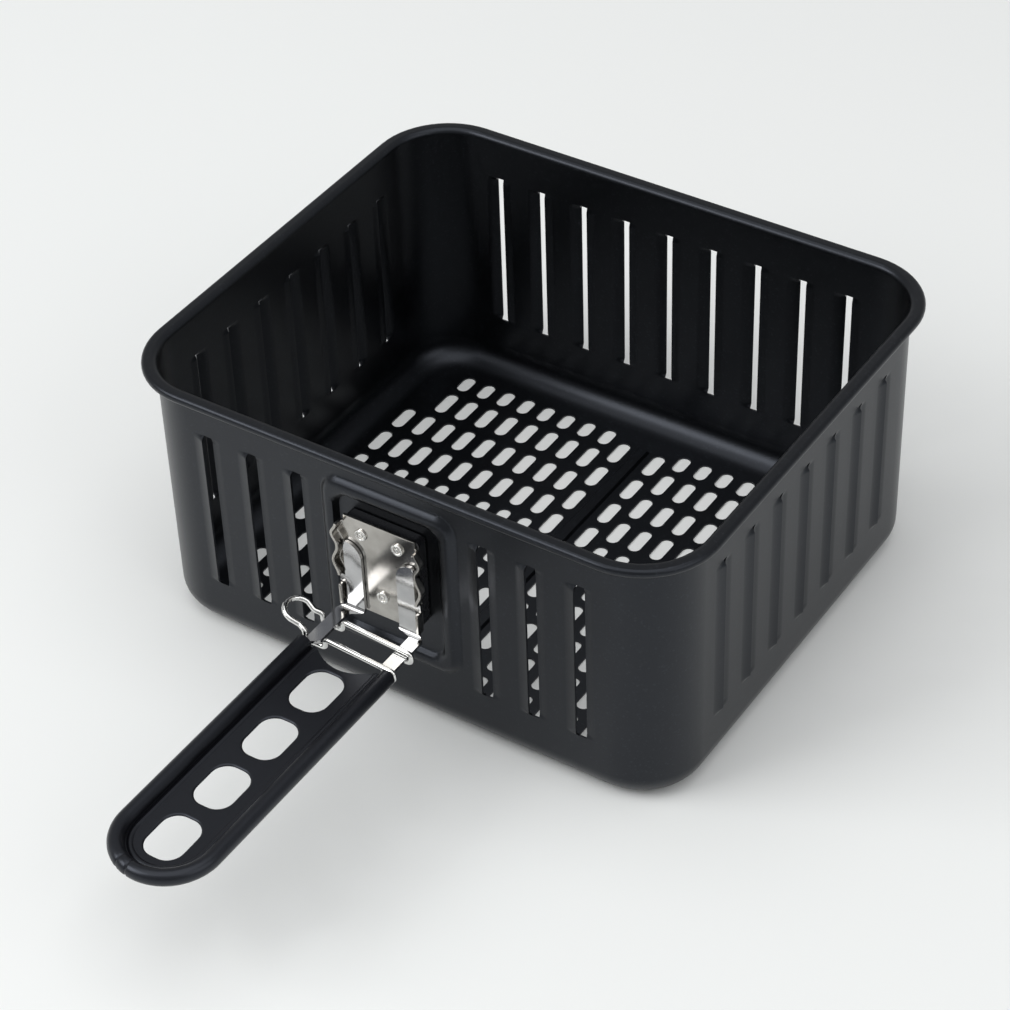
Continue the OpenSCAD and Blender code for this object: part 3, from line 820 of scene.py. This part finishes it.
def makeGrip():
    low, high = boxOf("grip_plate")
    beadZ = (low.z + high.z) / 2
    plateZ = beadZ - grip["plateDrop"]
    near, tipY = high.y, low.y + grip["tipFromEnd"]
    runs = steps(near, tipY, 26)
    # the two ends of the rolled edge meet at the tip in a pair of shallow nips
    half = grip["seamHalf"]
    turns = filled([seam + v for seam in grip["seams"] for v in steps(-half, half, 8)],
                   0, math.pi, 0.09)
    points, faces = [], []
    places = []
    for y in runs:
        places.append(lambda x, y=y: (x, y))
    for a in turns[1:-1]:
        places.append(lambda x, c=math.cos(a), n=math.sin(a): (x * c, tipY - x * n))
    for y in runs[::-1]:
        places.append(lambda x, y=y: (-x, y))
    for i, place in enumerate(places):
        turn = turns[min(max(i - len(runs) + 1, 0), len(turns) - 1)]
        dent = sum(grip["seamDeep"] * (1 - smooth(abs(turn - seam) / half))
                   for seam in grip["seams"])
        section = gripSection(plateZ, beadZ, dent)
        for x, z in section:
            points.append((*place(x), z))
    count = len(section)
    for j in range(len(places) - 1):
        for i in range(count - 1):
            faces.append((j * count + i, (j + 1) * count + i, (j + 1) * count + i + 1,
                          j * count + i + 1))
    boundary = [place(grip["plateEdge"]) for place in places]
    edge = grip["plateEdge"]
    for x in steps(-edge, edge, 24)[1:-1]:
        boundary.append((x, near - grip["scoop"] * (1 - (x / edge) ** 2)))
    holes = [near - grip["firstHole"] - i * grip["holePitch"] for i in range(4)]

    def holeOutline(y, grow):
        return roundRect(grip["holeWidth"] + 2 * grow, grip["holeLength"] + 2 * grow,
                         grip["holeCorner"] + grow, 0, y, 10)

    def keep(x, y):
        for middle in holes:
            if insideRound(x, y, grip["holeWidth"] / 2 + grip["lip"], grip["holeLength"] / 2
                           + grip["lip"], middle, grip["holeCorner"] + grip["lip"]) > 0.01:
                return False
        return y < near - grip["scoop"] * (1 - (x / edge) ** 2) - 0.001 if abs(x) < edge else True

    flat, plateFaces = triangles([boundary] + [holeOutline(y, grip["lip"]) for y in holes], keep)
    first = len(points)
    points += [(p.x, p.y, plateZ) for p in flat]
    faces += [tuple(first + i for i in face) for face in plateFaces]
    for y in holes:
        rings = []
        for k in range(4):
            turn = math.pi / 2 * k / 3
            down = plateZ - grip["lipDown"] * (1 - math.cos(turn))
            rings.append([(a, b, down)
                          for a, b in holeOutline(y, grip["lip"] * (1 - math.sin(turn)))])
        first, size = len(points), len(rings[0])
        for ring in rings:
            points += ring
        for k in range(3):
            for i in range(size):
                n = (i + 1) % size
                faces.append((first + k * size + i, first + k * size + n,
                              first + (k + 1) * size + n, first + (k + 1) * size + i))
    return makePiece("gripSheet", points, faces, "grip", gripLook,
                     ["grip_plate"], thick=grip["thick"], side=0, edge=0.2, edgeSteps=1,
                     edgeAngle=60)


makeGrip()
print("grip made")

for node in ("rim_wire", "grip_edge_wire"):
    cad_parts[node].data.materials.clear()
    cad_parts[node].data.materials.append(rivetLook)

# Studio: pale floor, soft light, camera
studio = dict(floor="#eeefee", floorSize=8, worldColour="#f2f3f4", world=0.48)
lamps = [
    dict(name="overhead", place=(0.1, -0.4, 2.4), aim=(0, 0, 0), size=(2.6, 2.6), power=26),
    dict(name="leftWindow", place=(-1.2, -1.3, 1.5), aim=(0, 0, 0.05), size=(1.3, 1.0), power=20),
    dict(name="rightFill", place=(2.0, -0.3, 1.4), aim=(0, 0, 0.05), size=(1.8, 1.6), power=10),
]
cameraPlace = dict(place=(0.50844, -0.77062, 0.80204), forward=(-0.43258, 0.63348, -0.64155),
                   roll=-2.217, angle=19.50)


def makeStudio():
    material, tree, place, output = newMaterial("paperBackdrop")
    shade = addNode(tree, "ShaderNodeTexNoise", {"Scale": 3, "Detail": 1}, {"Vector": (place, "Object")})
    tone = addNode(tree, "ShaderNodeValToRGB", None, {"Fac": (shade, "Fac")})
    tone.color_ramp.elements[0].color = linearColour(studio["floor"])
    tone.color_ramp.elements[1].color = linearColour("#eef0ef")
    shader = addNode(tree, "ShaderNodeBsdfPrincipled", {"Roughness": 0.85, "Specular IOR Level": 0.2},
                     {"Base Color": (tone, "Color")})
    tree.links.new(shader.outputs["BSDF"], output.inputs["Surface"])
    half = studio["floorSize"] / 2
    mesh = bpy.data.meshes.new("studioFloor")
    mesh.from_pydata([(-half, -half, 0), (half, -half, 0), (half, half, 0), (-half, half, 0)], [],
                     [(0, 1, 2, 3)])
    mesh.materials.append(material)
    ground = bpy.data.objects.new("studioFloor", mesh)
    bpy.context.scene.collection.objects.link(ground)
    world = bpy.data.worlds.new("studioWorld")
    bpy.context.scene.world = world
    world.use_nodes = True
    sky = world.node_tree.nodes["Background"]
    sky.inputs["Color"].default_value = linearColour(studio["worldColour"])
    sky.inputs["Strength"].default_value = studio["world"]
    for lamp in lamps:
        data = bpy.data.lights.new(lamp["name"], "AREA")
        data.shape = "RECTANGLE"
        data.size, data.size_y = lamp["size"]
        data.energy = lamp["power"]
        light = bpy.data.objects.new(lamp["name"], data)
        light.location = lamp["place"]
        light.rotation_mode = "QUATERNION"
        aim = Vector(lamp["aim"]) - Vector(lamp["place"])
        light.rotation_quaternion = aim.to_track_quat("-Z", "Y")
        bpy.context.scene.collection.objects.link(light)


def makeCamera():
    data = bpy.data.cameras.new("studioCamera")
    data.sensor_width = 36
    data.lens = 18 / math.tan(math.radians(cameraPlace["angle"]) / 2)
    camera = bpy.data.objects.new("studioCamera", data)
    camera.location = cameraPlace["place"]
    camera.rotation_mode = "QUATERNION"
    look = Vector(cameraPlace["forward"]).to_track_quat("-Z", "Y")
    camera.rotation_quaternion = look @ Quaternion((0, 0, 1), math.radians(cameraPlace["roll"]))
    bpy.context.scene.collection.objects.link(camera)
    bpy.context.scene.camera = camera


makeStudio()
makeCamera()
bpy.context.scene.view_settings.view_transform = "Standard"
print("studio made")
